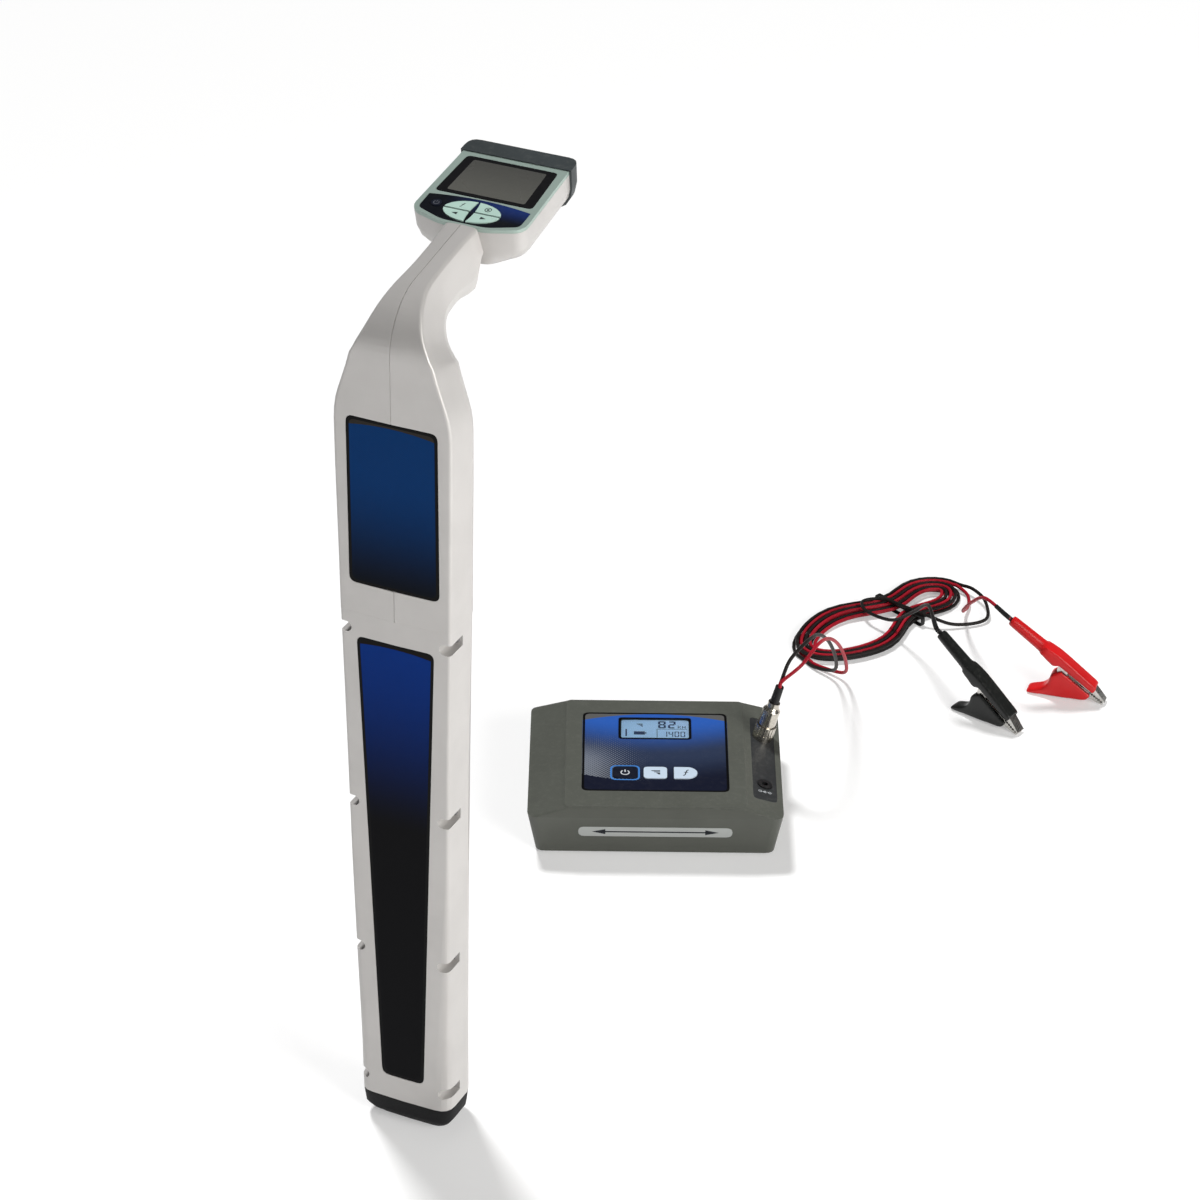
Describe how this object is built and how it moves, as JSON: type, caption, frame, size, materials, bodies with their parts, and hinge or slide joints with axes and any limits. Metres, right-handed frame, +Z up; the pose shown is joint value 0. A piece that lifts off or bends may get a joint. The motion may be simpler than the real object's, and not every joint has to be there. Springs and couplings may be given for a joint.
{
  "type": "cable locator set",
  "caption": "Buried-cable locating set: tall receiver wand with a swan neck and display head, flat transmitter box, and an output lead with crocodile clips.",
  "frame": {"origin": "middle of the flat pad under the wand's foot, on the floor", "axes": "+Z up along the wand, -Y out of the wand's label side, +X to the right of someone facing it"},
  "size_m": [0.4504, 1.0095, 0.7617],
  "materials": {
    "shell_silver": "fine satin, light warm silver grey",
    "foot_rubber": "matt black",
    "head_silver": "fine satin, light silver grey",
    "bumper_slate": "matt slate grey",
    "window_black": "polished, black printed rim",
    "display_grey": "smooth, unlit",
    "keypad_navy": "printed film, black to navy",
    "key_mint": "smooth, printed icons",
    "key_navy": "smooth, printed icon",
    "board_green": "solder mask",
    "sounder_black": "moulded",
    "label_blue": "printed film, blue to black with fine dots",
    "tray_black": "moulded",
    "cell_metal": "printed sleeve",
    "coil_copper": "enamelled wire on a dark ferrite rod",
    "screw_steel": "plated",
    "cover_olive": "fine texture, olive grey",
    "panel_blue": "printed film, blue to navy with a halftone",
    "screen_clear": "polished clear plastic",
    "screen_blue": "lit from behind",
    "key_pale": "smooth, printed icon",
    "plug_nickel": "nickel plate",
    "jack_black": "moulded",
    "pack_blue": "shrink wrap",
    "arrow_grey": "printed film, dark double arrow on grey",
    "sleeve_black": "heat shrink",
    "lead_black": "smooth insulation",
    "lead_red": "smooth insulation",
    "tie_black": "flat wire tie",
    "jaw_steel": "plated sheet",
    "boot_black": "glossy soft vinyl",
    "boot_red": "glossy soft vinyl"
  },
  "bodies": {
    "locator_set": {"rx_lower_front_shell": "shell_silver", "rx_lower_rear_shell": "shell_silver", "rx_upper_front_shell": "shell_silver", "rx_upper_rear_shell": "shell_silver", "rx_foot_boot": "foot_rubber", "rx_head_tub": "head_silver", "rx_head_frame": "head_silver", "rx_end_bumper": "bumper_slate", "rx_display_window": "window_black", "rx_display_panel": "display_grey", "rx_keypad_overlay": "keypad_navy", "rx_main_board": "board_green", "rx_sounder": "sounder_black", "rx_upper_label": "label_blue", "rx_lower_label": "label_blue", "rx_battery_tray": "tray_black", "rx_battery_cells": "cell_metal", "rx_antenna_board": "board_green", "rx_antenna_coils": "coil_copper", "rx_case_screws": "screw_steel", "tx_cover": "cover_olive", "tx_base_plate": "cover_olive", "tx_feet": "foot_rubber", "tx_base_screws": "screw_steel", "tx_panel_overlay": "panel_blue", "tx_display_window": "screen_clear", "tx_display_panel": "screen_blue", "tx_circuit_board": "board_green", "tx_connector_plate": "cover_olive", "tx_output_socket": "plug_nickel", "tx_power_jack": "jack_black", "tx_battery_pack": "pack_blue", "tx_induction_coil": "coil_copper", "tx_arrow_label": "arrow_grey", "plug_barrel": "plug_nickel", "lead_sleeve": "sleeve_black", "black_lead_runs": "lead_black", "black_lead_hank": "lead_black", "red_lead_runs": "lead_red", "red_lead_hank": "lead_red", "lead_tie": "tie_black", "black_clip_fixed_jaw": "jaw_steel", "black_clip_fixed_boot": "boot_black", "red_clip_fixed_jaw": "jaw_steel", "red_clip_fixed_boot": "boot_red"},
    "key_mode": {"rx_key_mode": "key_mint"},
    "key_frequency": {"rx_key_frequency": "key_mint"},
    "key_left": {"rx_key_left": "key_mint"},
    "key_right": {"rx_key_right": "key_mint"},
    "key_power": {"rx_key_power": "key_navy"},
    "battery_door": {"rx_battery_door": "shell_silver"},
    "box_key_power": {"tx_key_power": "key_navy"},
    "box_key_signal": {"tx_key_signal": "key_pale"},
    "box_key_frequency": {"tx_key_frequency": "key_pale"},
    "coupling_ring": {"plug_coupling_ring": "plug_nickel"},
    "black_jaw": {"black_clip_moving_jaw": "jaw_steel", "black_clip_moving_boot": "boot_black"},
    "red_jaw": {"red_clip_moving_jaw": "jaw_steel", "red_clip_moving_boot": "boot_red"}
  },
  "joints": [
    {"name": "key_mode_press", "type": "slide", "parent": "locator_set", "child": "key_mode", "axis": [0, 0.1736, -0.9848], "range_m": [0, 0.0008], "stiffness_N_per_m": 600},
    {"name": "key_frequency_press", "type": "slide", "parent": "locator_set", "child": "key_frequency", "axis": [0, 0.1736, -0.9848], "range_m": [0, 0.0008], "stiffness_N_per_m": 600},
    {"name": "key_left_press", "type": "slide", "parent": "locator_set", "child": "key_left", "axis": [0, 0.1736, -0.9848], "range_m": [0, 0.0008], "stiffness_N_per_m": 600},
    {"name": "key_right_press", "type": "slide", "parent": "locator_set", "child": "key_right", "axis": [0, 0.1736, -0.9848], "range_m": [0, 0.0008], "stiffness_N_per_m": 600},
    {"name": "key_power_press", "type": "slide", "parent": "locator_set", "child": "key_power", "axis": [0, 0.1736, -0.9848], "range_m": [0, 0.0008], "stiffness_N_per_m": 600},
    {"name": "box_key_power_press", "type": "slide", "parent": "locator_set", "child": "box_key_power", "axis": [0, 0, -1], "range_m": [0, 0.0008], "stiffness_N_per_m": 600},
    {"name": "box_key_signal_press", "type": "slide", "parent": "locator_set", "child": "box_key_signal", "axis": [0, 0, -1], "range_m": [0, 0.0008], "stiffness_N_per_m": 600},
    {"name": "box_key_frequency_press", "type": "slide", "parent": "locator_set", "child": "box_key_frequency", "axis": [0, 0, -1], "range_m": [0, 0.0008], "stiffness_N_per_m": 600},
    {"name": "battery_door_lift", "type": "slide", "parent": "locator_set", "child": "battery_door", "axis": [0, 1, 0], "range_m": [0, 0.03]},
    {"name": "coupling_ring_turn", "type": "hinge", "parent": "locator_set", "child": "coupling_ring", "pos_m": [0.05302, 0.57266, 0.04625], "axis": [0.2361, 0.1101, 0.9655], "continuous": true},
    {"name": "black_jaw_open", "type": "hinge", "parent": "locator_set", "child": "black_jaw", "pos_m": [0.198, 0.763, 0.03027], "axis": [0.2419, 0.9703, 0], "range_deg": [0, 22], "stiffness_Nm_per_rad": 0.6},
    {"name": "red_jaw_open", "type": "hinge", "parent": "locator_set", "child": "red_jaw", "pos_m": [0.25, 0.835, 0.03027], "axis": [-0.1219, 0.9925, 0], "range_deg": [0, 22], "stiffness_Nm_per_rad": 0.6}
  ]
}
